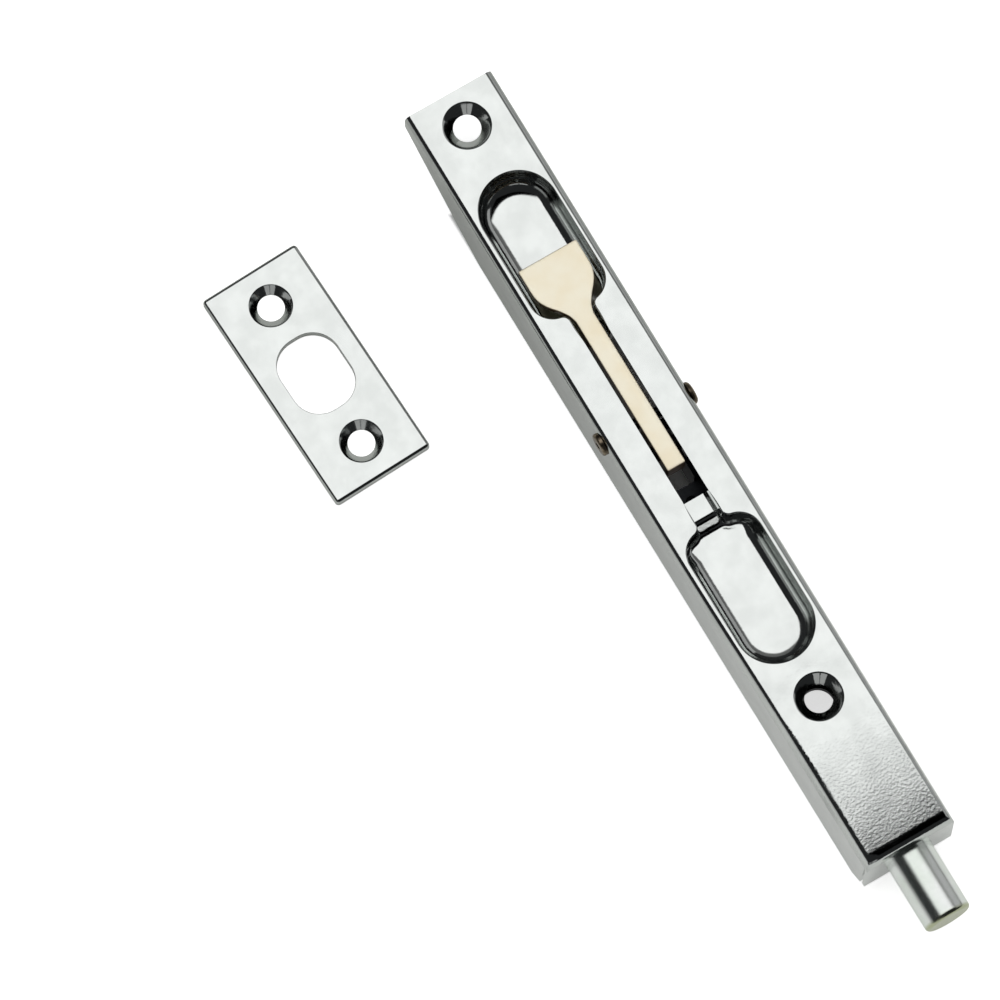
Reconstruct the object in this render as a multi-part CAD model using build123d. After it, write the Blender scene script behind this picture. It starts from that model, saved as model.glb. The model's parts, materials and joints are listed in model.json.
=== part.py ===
from build123d import *
from math import cos, radians, sin
import os

# Lever-action flush bolt with its separate strike plate.
# Frame: +X along the bolt towards its nose, +Z out of the face plate, millimetres.
# The origin is the point of the face plane midway between the two face screw holes.
# The case lies on its back and the strike plate lies beside it on the same surface.

os.makedirs("parts", exist_ok=True)

# ---- driving dimensions: case ------------------------------------------------
case_length = 160.0        # face plate, upper end to bolt end
case_width = 18.0
case_depth = 17.0          # face to the back edges of the side walls
sheet = 0.8                # pressed steel sheet
bend_radius = 1.4          # outside radius of the long bends and of the flap bend
upper_wall_depth = 5.0     # side wall left at the open upper end
wall_taper_length = 26.0   # from the upper end to where the wall has its full depth
flap_web = 1.1             # bolt-end flap left below its bolt hole
flap_seam_gap = 0.6        # gap between a side wall's end and the flap
wall_corner_cut = 2.5      # chamfer of a side wall's back corner at the bolt end

# ---- driving dimensions: face screws -------------------------------------------
upper_screw_inset = 6.8    # from the upper end
lower_screw_inset = 31.2   # from the bolt end
screw_hole_d = 5.1
dish_rim_d = 8.8           # pressed countersink at the face
dish_depth = 1.85

# ---- driving dimensions: finger cups and lever slot ------------------------------
pivot_inset = 69.2         # lever pivot, from the upper end
cup_far = 51.3             # far end of a cup, from the pivot
cup_near = 23.2            # near wall of a cup, from the pivot
cup_width = 14.5
cup_depth = 5.5
cup_floor_radius = 3.4     # inside radius between cup wall and floor
cup_shoulder_radius = 4.4
throat_radius = 1.5        # hollow corners where a neck widens into its cup
slot_side_gap = 0.75       # lever shank to the slot and to the necks
slot_past_yoke = 3.2       # the slot is open through the sheet this far past the yoke's cheeks
full_round_limit = 0.05    # keeps a half-round end just short of a complete half circle

# ---- driving dimensions: lever ---------------------------------------------------
pivot_depth = 2.4          # pivot axis below the face
lever_inset = 0.3          # lever's top face below the face plate
shank_width = 3.6
paddle_width = 12.1
paddle_thickness = 1.8
paddle_far = 34.4          # straight end of the paddle, from the pivot
paddle_square = 4.8        # part of the paddle with parallel sides
paddle_taper = 8.6         # from the parallel sides to the shank
belly_along = 0.47         # shares of the taper's length and width at two points of its curve
belly_out = 0.64
hollow_along = 0.80
hollow_out = 0.16
tail_past_crank = 4.3      # tail end beyond the crank pin
pivot_d = 2.1
pivot_head_d = 4.4
pivot_head_height = 0.9
pivot_head_round = 0.72
formed_head_round = 0.45   # the semi-tubular end's rolled head
rivet_hollow_d = 1.4
rivet_hollow_depth = 3.0
crank_pin_d = 3.0

# ---- driving dimensions: bolt, yoke and strap --------------------------------------
bolt_d = 9.0
bolt_throw = 13.0
nose_proud = 0.6           # nose left outside the flap when withdrawn
bolt_nose_radius = 0.8
screw_to_bolt = 1.65       # lower screw hole's edge to the withdrawn bolt's rear end
bolt_slot_length = 8.5     # saw slot in the rear end
bolt_pin_d = 2.4
strap_width = 12.0
strap_thickness = 1.6
strap_tongue_width = 7.6
screw_shank_room = 6.2     # width of the strap's slot round the lower screw
yoke_cheek = 1.6           # thickness of a yoke cheek
yoke_wall = 2.2            # metal in front of and behind the crank slot
yoke_web_length = 10.5
yoke_depth_below_slot = 1.6
yoke_rivet_d = 2.4
yoke_rivet_inset = 3.2     # first rivet from the yoke's web end
yoke_rivet_pitch = 4.4
yoke_rivet_head_d = 3.8
yoke_rivet_head = 0.5

# ---- driving dimensions: brackets and detent ------------------------------------
guide_inset = 7.4          # front face of the guide, behind the bolt end
guide_sheet = 1.2
guide_tab_length = 6.0
guide_top = 1.2            # guide plate's top edge below the face
guide_web = 2.3            # guide plate left below its bolt hole
keeper_length = 6.5
keeper_sheet = 1.0
keeper_tab_depth = 5.0
spring_sheet = 0.4
spring_width = 5.0
spring_bump_reach = 7.5    # from the keeper's rear edge to the detent bump
spring_to_yoke = 0.9       # spring's free end to the yoke's web when the bolt is thrown
detent_hole_d = 2.8
spring_rivet_d = 2.0
spring_rivet_head_d = 3.6
spring_rivet_head = 0.7

# ---- driving dimensions: strike plate -----------------------------------------------
strike_length = 45.0
strike_width = 20.0
strike_thickness = 1.8
strike_hole_length = 15.0
strike_hole_width = 12.0
strike_hole_corner = 5.3   # radius of the oblong hole's corners
strike_screw_spacing = 30.0
strike_screw_d = 5.0
strike_sink_d = 8.0
strike_edge_radius = 0.7   # rolled upper edges
strike_gap = 25.7          # free space between case and strike plate as they lie
strike_from_upper_end = 29.0
strike_turn = 2.5          # degrees between the strike's long side and the case

# ---- clearances ---------------------------------------------------------------------
hole_clearance = 0.05      # radial, rivets and pins in drilled holes
bolt_clearance = 0.08      # radial, bolt in its guide and in the flap
slot_clearance = 0.25      # crank pin to yoke slot, beyond the linkage's own need
strap_clearance = 0.5      # strap below the finger cups
keeper_clearance = 0.25    # keeper below the strap
lever_side_gap = 0.4       # lever shank to yoke cheek
lever_floor_gap = 0.3      # flipped lever to the floor of a neck
rivet_cheek_gap = 0.1      # pivot rivet to the yoke's cheek tops
tail_clearance = 0.7       # lever tail to the strap's end
weld_gap = 0.05            # bracket tabs to the side walls
overrun = 1.0              # how far a cutting solid runs past what it cuts

# ---- places worked out from the above ---------------------------------------------------
screw_spacing = case_length - upper_screw_inset - lower_screw_inset
upper_end = -upper_screw_inset - screw_spacing / 2
bolt_end = upper_end + case_length
pivot_x = upper_end + pivot_inset
lower_screw_x = screw_spacing / 2
crank_radius = bolt_throw / 2
crank_x = pivot_x + crank_radius
tail_length = crank_radius + tail_past_crank
shank_depth = 2 * (pivot_depth - lever_inset)
slot_width = shank_width + 2 * slot_side_gap
neck_depth = 2 * pivot_depth - lever_inset + lever_floor_gap
bolt_tip = bolt_end + bolt_throw + nose_proud
bolt_rear = lower_screw_x + screw_hole_d / 2 + screw_to_bolt + bolt_throw
strap_top = cup_depth + sheet + strap_clearance
strap_bottom = strap_top + strap_thickness
bolt_axis_depth = (strap_top + strap_bottom) / 2
bolt_underside = bolt_axis_depth + bolt_d / 2
flap_depth = bolt_underside + flap_web
inner_half = case_width / 2 - sheet
cheek_inner = shank_width / 2 + lever_side_gap
cheek_outer = cheek_inner + yoke_cheek


def block(x0, x1, y0, y1, z0, z1):
    """Box between two corners, any order."""
    size = (abs(x1 - x0), abs(y1 - y0), abs(z1 - z0))
    middle = ((x0 + x1) / 2, (y0 + y1) / 2, (z0 + z1) / 2)
    return Pos(*middle) * Box(*size)


def rod_x(radius, x0, x1, y, z):
    """Round bar along X."""
    turn = Rot(0, 90, 0)
    return Pos((x0 + x1) / 2, y, z) * turn * Cylinder(radius, abs(x1 - x0))


def rod_y(radius, y0, y1, x, z):
    """Round bar along Y."""
    turn = Rot(90, 0, 0)
    return Pos(x, (y0 + y1) / 2, z) * turn * Cylinder(radius, abs(y1 - y0))


def rod_z(radius, z0, z1, x, y):
    """Round bar along Z."""
    return Pos(x, y, (z0 + z1) / 2) * Cylinder(radius, abs(z1 - z0))


def side_plate(points, y0, y1):
    """Plate with the outline (x, z) points, from y0 to y1."""
    face = make_face(Polyline([(x, y1, z) for x, z in points], close=True))
    return extrude(face, amount=y1 - y0, dir=(0, -1, 0))


def linkage_lead(angle):
    """How far the strap, moving in proportion to the angle, is ahead of the crank pin."""
    return bolt_throw * angle / 180 - crank_radius * (1 - cos(radians(angle)))


def tail_reach(angle, strap_z):
    """How far ahead of the pivot the strap has to start, so that the tail passes at this angle.
    The tail's upper corner is followed while it is at or above the strap's lowest level."""
    half = shank_depth / 2
    c, s = cos(radians(angle)), sin(radians(angle))
    along = min(tail_length, (strap_z - pivot_depth + half * c) / s)
    return along * c + half * s + bolt_throw * angle / 180


crank_slot_half = crank_pin_d / 2 + max(linkage_lead(a) for a in range(181)) + slot_clearance
web_bottom = strap_bottom + yoke_cheek
strap_start = pivot_x + tail_clearance + max(tail_reach(a, web_bottom) for a in range(1, 90))
slot_reach = strap_start - pivot_x + slot_past_yoke
cheek_top = pivot_depth + pivot_d / 2 + hole_clearance + rivet_cheek_gap
cheek_bottom = pivot_depth + crank_radius + crank_pin_d / 2 + slot_clearance + yoke_depth_below_slot


# ---- case -------------------------------------------------------------------------------
def cup_solid(side, grow):
    """One finger cup as a solid; grow is 0 for the hollow and the sheet for its outer form."""
    half = cup_width / 2 + grow
    far = cup_far + grow
    near = cup_near - grow
    length = far - near
    plan = Rectangle(length, 2 * half)
    far_corners = plan.vertices().sort_by(Axis.X)[-2:]
    plan = fillet(far_corners, half - full_round_limit)
    near_corners = plan.vertices().sort_by(Axis.X)[:2]
    plan = fillet(near_corners, cup_shoulder_radius + grow)
    deep = cup_depth + grow
    cup = extrude(Plane.XY.offset(-deep) * plan, amount=deep)
    floor_edges = cup.faces().sort_by(Axis.Z)[0].edges()
    cup = fillet(floor_edges, cup_floor_radius + grow)
    cup = Pos((far + near) / 2, 0, 0) * cup
    if side < 0:
        cup = mirror(cup, about=Plane.YZ)
    return Pos(pivot_x, 0, 0) * cup


def neck_solid(side, grow):
    """Shallow channel that joins a cup to the lever slot and widens into a throat at the cup."""
    half = slot_width / 2 + grow
    inner = slot_reach - (overrun if grow == 0 else 0)
    mouth = cup_near - grow
    throat = Pos(mouth + cup_floor_radius / 2, 0) * Rectangle(cup_floor_radius, 2 * (half + throat_radius))
    channel = Pos((inner + mouth) / 2, 0) * Rectangle(mouth - inner, 2 * half)
    plan = throat + channel
    hollow_corners = plan.vertices().group_by(Axis.X)[1].sort_by(Axis.Y)[1:-1]
    plan = fillet(hollow_corners, throat_radius - grow)
    deep = neck_depth + grow
    neck = extrude(Plane.XY.offset(-deep) * plan, amount=deep)
    if side < 0:
        neck = mirror(neck, about=Plane.YZ)
    return Pos(pivot_x, 0, 0) * neck


def screw_dish(x, grow):
    """Conical dish round a face screw hole."""
    rim = dish_rim_d / 2 + grow
    root = screw_hole_d / 2 + grow
    deep = dish_depth + grow
    return Pos(x, 0, -deep / 2) * Cone(root, rim, deep)


def make_case():
    outside = block(upper_end, bolt_end, -case_width / 2, case_width / 2, -case_depth, 0)
    top_edges = outside.faces().sort_by(Axis.Z)[-1].edges()
    bent_edges = top_edges.sort_by(Axis.X)[1:]
    outside = fillet(bent_edges, bend_radius)
    inside = block(upper_end - overrun, bolt_end - sheet, -inner_half, inner_half,
                   -case_depth - overrun, -sheet)
    inside_edges = inside.faces().sort_by(Axis.Z)[-1].edges().sort_by(Axis.X)[1:]
    inside = fillet(inside_edges, bend_radius - sheet)
    shell = outside - inside

    # side walls: tapered at the upper end, short of the flap at the bolt end
    low = -case_depth - overrun
    wide = case_width / 2 + overrun
    slope = (case_depth - upper_wall_depth) / wall_taper_length
    shell -= side_plate([(upper_end - overrun, -upper_wall_depth + slope * overrun),
                         (upper_end + wall_taper_length + overrun / slope, low),
                         (upper_end - overrun, low)], -wide, wide)
    wall_end = bolt_end - sheet - flap_seam_gap
    for side in (-1, 1):
        shell -= block(wall_end, bolt_end - sheet, side * inner_half, side * wide,
                       -bend_radius, low)
    shell -= block(wall_end, bolt_end + overrun, -wide, wide, -flap_depth, low)
    shell -= side_plate([(wall_end - wall_corner_cut - overrun, low),
                         (wall_end + overrun, low),
                         (wall_end + overrun, -case_depth + wall_corner_cut + overrun)],
                        -wide, wide)

    # pressed forms: outer shapes joined first, then the hollows cut
    for side in (-1, 1):
        shell += cup_solid(side, sheet)
        shell += neck_solid(side, sheet)
    for x in (-lower_screw_x, lower_screw_x):
        shell += screw_dish(x, sheet)
    for side in (-1, 1):
        shell -= cup_solid(side, 0)
        shell -= neck_solid(side, 0)
    for x in (-lower_screw_x, lower_screw_x):
        shell -= screw_dish(x, 0)
        shell -= rod_z(screw_hole_d / 2, -case_depth, 0, x, 0)

    # lever slot, bolt hole and rivet holes
    half = slot_width / 2
    shell -= block(pivot_x - slot_reach, pivot_x + slot_reach, -half, half, -sheet - overrun, overrun)
    shell -= rod_x(bolt_d / 2 + bolt_clearance, bolt_end - sheet - overrun, bolt_end + overrun,
                   0, -bolt_axis_depth)
    shell -= rod_y(pivot_d / 2 + hole_clearance, -wide, wide, pivot_x, -pivot_depth)
    return shell


# ---- lever and its pins ---------------------------------------------------------------
def lever_plan():
    """Outline seen from above: straight paddle end, curved taper, parallel shank, square tail."""
    wide = paddle_width / 2
    thin = shank_width / 2
    end = pivot_x - paddle_far
    square = end + paddle_square
    waist = square + paddle_taper
    belly = (square + belly_along * paddle_taper, thin + belly_out * (wide - thin))
    hollow = (square + hollow_along * paddle_taper, thin + hollow_out * (wide - thin))
    curve = Spline([(square, wide), belly, hollow, (waist, thin)], tangents=[(1, 0), (1, 0)])
    other = mirror(curve, about=Plane.XZ)
    ends = Line((end, -wide), (end, wide)) + Line((end, wide), (square, wide))
    ends += Line((end, -wide), (square, -wide))
    tail = pivot_x + tail_length
    ends += Line((waist, thin), (tail, thin)) + Line((waist, -thin), (tail, -thin))
    ends += Line((tail, -thin), (tail, thin))
    return make_face(ends + curve + other)


def make_lever():
    top = -lever_inset
    bottom = top - shank_depth
    end = pivot_x - paddle_far
    square = end + paddle_square
    waist = square + paddle_taper
    tail = pivot_x + tail_length
    plan = extrude(Plane.XY.offset(bottom) * lever_plan(), amount=shank_depth)
    side = side_plate([(end, top), (tail, top), (tail, bottom), (waist + shank_depth, bottom),
                       (waist, top - paddle_thickness), (end, top - paddle_thickness)],
                      -case_width, case_width)
    lever = plan & side
    lever -= rod_y(pivot_d / 2 + hole_clearance, -case_width, case_width, pivot_x, -pivot_depth)
    lever -= rod_y(crank_pin_d / 2, -case_width, case_width, crank_x, -pivot_depth)
    return lever


def make_pivot_rivet():
    half = case_width / 2
    shank = rod_y(pivot_d / 2, -half - pivot_head_height, half, pivot_x, -pivot_depth)
    formed = rod_y(pivot_head_d / 2, -half - pivot_head_height, -half, pivot_x, -pivot_depth)
    head = rod_y(pivot_head_d / 2, half, half + pivot_head_height, pivot_x, -pivot_depth)
    formed = fillet(formed.faces().sort_by(Axis.Y)[0].edges(), formed_head_round)
    head = fillet(head.faces().sort_by(Axis.Y)[-1].edges(), pivot_head_round)
    hollow = rod_y(rivet_hollow_d / 2, -half - pivot_head_height - overrun,
                   -half - pivot_head_height + rivet_hollow_depth, pivot_x, -pivot_depth)
    return shank + formed + head - hollow


def make_crank_pin():
    return rod_y(crank_pin_d / 2, -cheek_outer, cheek_outer, crank_x, -pivot_depth)


# ---- yoke, strap and bolt ------------------------------------------------------------------
first_rivet_x = strap_start + yoke_rivet_inset
yoke_rivet_places = (first_rivet_x, first_rivet_x + yoke_rivet_pitch)
bolt_pin_x = bolt_rear + bolt_slot_length / 2


def make_yoke():
    rear = crank_x - crank_slot_half - yoke_wall
    slot_bottom = cheek_bottom - yoke_depth_below_slot
    web_end = strap_start + yoke_web_length
    yoke = block(strap_start, web_end, -cheek_outer, cheek_outer, -web_bottom, -strap_bottom)
    for side in (-1, 1):
        inner, outer = side * cheek_inner, side * cheek_outer
        yoke += block(rear, strap_start, inner, outer, -cheek_bottom, -cheek_top)
        yoke += block(strap_start - yoke_cheek, strap_start + 2 * yoke_cheek, inner, outer,
                      -cheek_bottom, -strap_bottom)
    yoke -= block(crank_x - crank_slot_half, crank_x + crank_slot_half, -case_width, case_width,
                  -slot_bottom, 0)
    for x in yoke_rivet_places:
        yoke -= rod_z(yoke_rivet_d / 2 + hole_clearance, -case_depth, 0, x, 0)
    return yoke


def make_drive_strap():
    neck = bolt_rear - 2 * strap_clearance
    tip = bolt_rear + bolt_slot_length - strap_clearance
    half = strap_width / 2
    tongue = strap_tongue_width / 2
    first = strap_start + hole_clearance
    strap = block(first, neck, -half, half, -strap_bottom, -strap_top)
    strap += block(neck, tip, -tongue, tongue, -strap_bottom, -strap_top)
    room = screw_shank_room / 2
    strap -= block(lower_screw_x, lower_screw_x + bolt_throw, -room, room,
                   -case_depth, 0)
    for x in (lower_screw_x, lower_screw_x + bolt_throw):
        strap -= rod_z(room, -case_depth, 0, x, 0)
    for x in (bump_x, bump_x + bolt_throw):
        strap -= rod_z(detent_hole_d / 2, -case_depth, 0, x, 0)
    for x in yoke_rivet_places:
        strap -= rod_z(yoke_rivet_d / 2 + hole_clearance, -case_depth, 0, x, 0)
    strap -= rod_z(bolt_pin_d / 2 + hole_clearance, -case_depth, 0, bolt_pin_x, 0)
    return strap


def make_yoke_rivets():
    rivets = []
    for x in yoke_rivet_places:
        rivet = rod_z(yoke_rivet_d / 2, -web_bottom - yoke_rivet_head, -strap_top, x, 0)
        rivet += rod_z(yoke_rivet_head_d / 2, -web_bottom - yoke_rivet_head, -web_bottom, x, 0)
        rivets.append(rivet)
    return Compound(children=rivets)


def make_bolt():
    bolt = rod_x(bolt_d / 2, bolt_rear, bolt_tip, 0, -bolt_axis_depth)
    bolt = fillet(bolt.faces().sort_by(Axis.X)[-1].edges(), bolt_nose_radius)
    bolt -= block(bolt_rear - overrun, bolt_rear + bolt_slot_length, -bolt_d, bolt_d,
                  -strap_bottom - hole_clearance, -strap_top + hole_clearance)
    bolt -= rod_z(bolt_pin_d / 2 + hole_clearance, -case_depth, 0, bolt_pin_x, 0)
    return bolt


def make_bolt_pin():
    reach = bolt_d / 2 - strap_clearance
    return rod_z(bolt_pin_d / 2, -bolt_axis_depth - reach, -bolt_axis_depth + reach, bolt_pin_x, 0)


# ---- brackets and detent -----------------------------------------------------------------------
spring_end_x = strap_start + yoke_web_length + spring_to_yoke
bump_x = spring_end_x + detent_hole_d
keeper_x = bump_x + spring_bump_reach
keeper_top = strap_bottom + keeper_clearance
spring_rivet_x = keeper_x + keeper_length / 2


def make_bolt_guide():
    front = bolt_end - guide_inset
    half = inner_half - weld_gap
    guide_bottom = bolt_underside + guide_web
    guide = block(front - guide_sheet, front, -half, half, -guide_bottom, -guide_top)
    guide -= rod_x(bolt_d / 2 + bolt_clearance, front - guide_sheet - overrun, front + overrun,
                   0, -bolt_axis_depth)
    for side in (-1, 1):
        guide += block(front - guide_tab_length, front, side * (half - guide_sheet), side * half,
                       -guide_bottom, -strap_top + strap_clearance)
    return guide


def make_strap_keeper():
    half = inner_half - weld_gap
    front = keeper_x + keeper_length
    keeper = block(keeper_x, front, -half, half, -keeper_top - keeper_sheet, -keeper_top)
    for side in (-1, 1):
        keeper += block(keeper_x, front, side * (half - keeper_sheet), side * half,
                        -keeper_top - keeper_tab_depth, -keeper_top)
    keeper -= rod_z(spring_rivet_d / 2 + hole_clearance, -case_depth, 0, spring_rivet_x, 0)
    return keeper


def make_detent_spring():
    flat = -keeper_top - keeper_sheet
    high = -strap_bottom - hole_clearance * 2
    shoulder = high - spring_sheet
    upper = [(keeper_x + keeper_length, flat), (keeper_x - spring_sheet, flat),
             (bump_x + detent_hole_d / 2, shoulder), (bump_x, high),
             (bump_x - detent_hole_d / 2, shoulder), (spring_end_x, shoulder - spring_sheet)]
    lower = [(x, z - spring_sheet) for x, z in reversed(upper)]
    spring = side_plate(upper + lower, -spring_width / 2, spring_width / 2)
    spring -= rod_z(spring_rivet_d / 2 + hole_clearance, -case_depth, 0, spring_rivet_x, 0)
    return spring


def make_spring_rivet():
    under = -keeper_top - keeper_sheet - spring_sheet
    rivet = rod_z(spring_rivet_d / 2, under - spring_rivet_head, -keeper_top, spring_rivet_x, 0)
    rivet += rod_z(spring_rivet_head_d / 2, under - spring_rivet_head, under, spring_rivet_x, 0)
    return rivet


# ---- strike plate ----------------------------------------------------------------------------------
def make_strike_plate():
    plate = Box(strike_length, strike_width, strike_thickness)
    plate = fillet(plate.faces().sort_by(Axis.Z)[-1].edges(), strike_edge_radius)
    oblong = RectangleRounded(strike_hole_length, strike_hole_width, strike_hole_corner)
    plate -= extrude(Plane.XY.offset(-strike_thickness) * oblong, amount=2 * strike_thickness)
    sink_depth = (strike_sink_d - strike_screw_d) / 2
    for side in (-1, 1):
        x = side * strike_screw_spacing / 2
        sink_z = strike_thickness / 2 - sink_depth / 2
        plate -= Pos(x, 0, sink_z) * Cone(strike_screw_d / 2, strike_sink_d / 2, sink_depth)
        plate -= Pos(x, 0, 0) * Cylinder(strike_screw_d / 2, strike_thickness + overrun)
    x = upper_end + strike_from_upper_end
    y = -case_width / 2 - strike_gap - strike_width / 2
    z = -case_depth + strike_thickness / 2
    return Pos(x, y, z) * Rot(0, 0, strike_turn) * plate


nodes = {
    "case": make_case(),
    "lever": make_lever(),
    "pivot_rivet": make_pivot_rivet(),
    "crank_pin": make_crank_pin(),
    "yoke": make_yoke(),
    "drive_strap": make_drive_strap(),
    "yoke_rivets": make_yoke_rivets(),
    "bolt": make_bolt(),
    "bolt_cross_pin": make_bolt_pin(),
    "bolt_guide": make_bolt_guide(),
    "strap_keeper": make_strap_keeper(),
    "detent_spring": make_detent_spring(),
    "spring_rivet": make_spring_rivet(),
    "strike_plate": make_strike_plate(),
}
for name, solid in nodes.items():
    export_step(solid, f"parts/{name}.step")
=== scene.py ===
# %% [markdown]
# # A flush bolt with a flip lever
# The object is a slim pressed-steel case that is let into the edge of a door. A cast lever flips
# end over end in it and throws a round bolt into a separate strike plate. The machinery comes
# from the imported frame. This lesson makes what the eye judges: the chromed sheet with its
# pressed cups, the satin lever, the zinc-plated bolt, and the soft white studio they lie in.

# %% Load the frame
import json
import math

import bpy
import bmesh
import numpy as np
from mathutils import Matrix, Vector
from mathutils.geometry import delaunay_2d_cdt


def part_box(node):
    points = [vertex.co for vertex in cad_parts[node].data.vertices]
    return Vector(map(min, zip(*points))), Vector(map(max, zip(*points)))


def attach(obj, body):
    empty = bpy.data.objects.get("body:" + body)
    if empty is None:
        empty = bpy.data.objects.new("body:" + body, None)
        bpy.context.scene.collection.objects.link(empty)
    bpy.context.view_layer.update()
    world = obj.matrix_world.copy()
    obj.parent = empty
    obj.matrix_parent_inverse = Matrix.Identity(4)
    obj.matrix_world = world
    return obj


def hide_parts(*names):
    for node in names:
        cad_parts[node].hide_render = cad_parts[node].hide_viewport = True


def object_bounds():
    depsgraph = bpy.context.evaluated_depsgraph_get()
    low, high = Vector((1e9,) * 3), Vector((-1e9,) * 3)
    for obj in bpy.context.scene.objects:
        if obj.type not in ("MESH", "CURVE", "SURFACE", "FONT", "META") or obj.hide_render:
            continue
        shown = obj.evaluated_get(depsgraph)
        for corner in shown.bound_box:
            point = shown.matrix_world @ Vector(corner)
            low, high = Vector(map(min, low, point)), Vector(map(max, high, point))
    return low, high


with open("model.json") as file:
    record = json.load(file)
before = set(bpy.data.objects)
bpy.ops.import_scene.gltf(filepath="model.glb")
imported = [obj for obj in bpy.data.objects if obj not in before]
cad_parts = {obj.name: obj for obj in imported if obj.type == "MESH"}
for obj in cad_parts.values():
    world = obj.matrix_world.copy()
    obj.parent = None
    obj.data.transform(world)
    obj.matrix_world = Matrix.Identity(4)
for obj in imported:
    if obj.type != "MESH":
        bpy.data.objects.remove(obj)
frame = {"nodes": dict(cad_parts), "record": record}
cad_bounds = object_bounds()
MM = 0.001
nodes = frame["nodes"]
case_low, case_high = (np.array(corner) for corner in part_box("case"))
plate_low, plate_high = (np.array(corner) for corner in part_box("strike_plate"))
bolt_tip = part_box("bolt")[1][0] / MM
joints = {joint["name"]: joint for joint in frame["record"]["behaviour"]["joints"]}
pivot = np.array(joints["lever_flip"]["pos_m"])
print("frame:", sorted(nodes), "pivot at", pivot)

# %% [markdown]
# ## Small helpers for materials
# Colours are written as the sRGB hex values that a colour picker shows. Blender's shaders work
# in linear light, so one function turns them. Another adds a node with its settings and links.

# %% Colour and node helpers
def linear(hex_colour):
    """sRGB hex to linear RGBA: below 0.04045 divide by 12.92, above it ((c + 0.055) / 1.055) ** 2.4."""
    parts = [int(hex_colour[i:i + 2], 16) / 255 for i in (1, 3, 5)]
    line = [c / 12.92 if c <= 0.04045 else ((c + 0.055) / 1.055) ** 2.4 for c in parts]
    return (*line, 1.0)


def add(tree, kind, values=None, links=None, **settings):
    """Adds one node: settings are its properties, values its sockets, links the sockets fed to it."""
    node = tree.nodes.new(kind)
    for name, value in settings.items():
        setattr(node, name, value)
    for socket, value in (values or {}).items():
        node.inputs[socket].default_value = value
    for socket, source in (links or {}).items():
        tree.links.new(source, node.inputs[socket])
    return node


def new_material(name, values):
    """A material with one Principled shader; returns the material, its tree and the shader."""
    material = bpy.data.materials.new(name)
    material.use_nodes = True
    tree = material.node_tree
    shader = tree.nodes["Principled BSDF"]
    for socket, value in values.items():
        shader.inputs[socket].default_value = value
    return material, tree, shader


def per_mm(feature_mm):
    """Scale of a noise texture on Object coordinates in metres, for features of this size."""
    return 1.0 / (feature_mm * MM)


print("helpers ready")

# %% [markdown]
# ## The pressed case
# The case starts as a strip of 0.8 mm steel. A press draws the two finger cups and the screw
# dishes, a punch cuts the lever slot, and a brake folds the long walls and the end flap down.
# One drawn cup can be described by one curve and one section: the curve is its rim seen from
# above, the section is how deep the metal lies at each distance inwards from that rim. Drawing
# the cup as rings along the rim keeps the reflections in the chrome as smooth as on real metal.

# %% Sizes of the case, in millimetres from the lever's pivot or from the face
sheet = 0.8
bend = 1.4
pivot_x = pivot[0] / MM
x_upper, x_lower = case_low[0] / MM, case_high[0] / MM
half_width = case_high[1] / MM
case_depth = -case_low[2] / MM
screw_at = 61.0
cup_far, cup_near, cup_half, cup_depth = 51.3, 23.2, 7.25, 5.5
floor_radius, shoulder, throat = 3.4, 4.4, 1.5
slot_half, slot_reach, neck_depth = 2.55, 16.48, 4.8
rim_radius = 0.3
slant, slant_low, corner_cut = 26.0, 5.0, 2.5      # cut walls: slant's length, height, corner
flap_low, bolt_hole, bolt_axis = 13.2, 4.58, 7.6   # end flap: lower edge, hole's radius and depth
flat_half = half_width - bend
flat_end = x_lower - bend
shoulder_x = cup_near + shoulder
shoulder_y = cup_half - shoulder
throat_y = slot_half + throat
throat_x = shoulder_x - math.sqrt((shoulder + throat) ** 2 - (throat_y - shoulder_y) ** 2)
meet = math.atan2(throat_y - shoulder_y, throat_x - shoulder_x)
print("throat circle at", round(throat_x, 2), throat_y)


def grid_faces(rows, columns, offset=0, flip=False):
    """Quads of a rows x columns grid of points, numbered row by row."""
    i, j = np.meshgrid(np.arange(rows - 1), np.arange(columns - 1), indexing="ij")
    a = (i * columns + j).ravel() + offset
    quads = np.stack([a, a + 1, a + columns + 1, a + columns], axis=1)
    return quads[:, ::-1] if flip else quads


def half_rim(inward):
    """Half of a cup's rim, moved inwards: arcs lose or gain that distance in radius.
    Runs from the slot's end along the neck, the hollow throat, the round shoulder, the straight
    side and the far arc to the middle line. Returns x, y measured from the pivot, y positive."""
    neck_x = np.linspace(slot_reach, throat_x, 22)
    t1 = np.linspace(-math.pi / 2, meet - math.pi, 18)[1:]
    t2 = np.linspace(meet, math.pi / 2, 22)[1:]
    side_x = np.linspace(shoulder_x, cup_far - cup_half, 40)[1:]
    t3 = np.linspace(math.pi / 2, 0, 40)[1:]
    x = np.concatenate([neck_x, throat_x + (throat + inward) * np.cos(t1),
                        shoulder_x + (shoulder - inward) * np.cos(t2), side_x,
                        cup_far - cup_half + (cup_half - inward) * np.cos(t3)])
    y = np.concatenate([np.full(neck_x.size, slot_half) - inward,
                        throat_y + (throat + inward) * np.sin(t1),
                        shoulder_y + (shoulder - inward) * np.sin(t2),
                        np.full(side_x.size, cup_half) - inward,
                        (cup_half - inward) * np.sin(t3)])
    return x, y


def smooth(value, low, high):
    """0 below low, 1 above high, and 3 t^2 - 2 t^3 between them."""
    t = np.clip((value - low) / (high - low), 0, 1)
    return t * t * (3 - 2 * t)


def rim_share(x):
    """How much of the rim's rounding there is: none where the punched slot begins."""
    return smooth(x, slot_reach, slot_reach + 4.0)


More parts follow.
